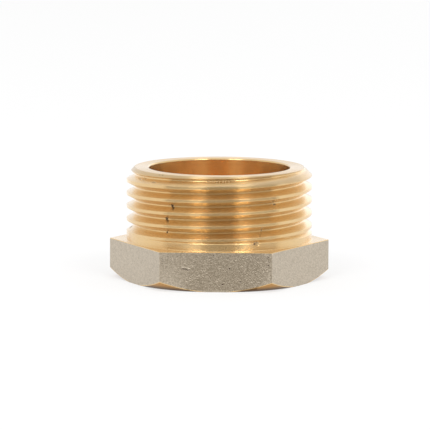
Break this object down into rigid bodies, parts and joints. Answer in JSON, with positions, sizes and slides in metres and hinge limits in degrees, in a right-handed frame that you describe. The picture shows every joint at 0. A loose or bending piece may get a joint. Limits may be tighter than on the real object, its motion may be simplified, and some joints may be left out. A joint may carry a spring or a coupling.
{
  "type": "pipe plug",
  "caption": "Hollow hexagon-head pipe plug with a parallel male pipe thread, a flat sealing shoulder and a blind bore open at the thread's end.",
  "frame": {"origin": "centre of the head's flat outer face, on the surface that the plug stands on", "axes": "+Z along the thread's axis, from the head towards the thread; +X through two opposite corners of the hexagon; one flat of the hexagon faces -Y"},
  "size_m": [0.0392, 0.034, 0.02],
  "materials": {
    "brass_body": "turned brass with matte nickel-plated hexagon flats"
  },
  "bodies": {
    "root": {"plug_body": "brass_body"}
  },
  "joints": []
}
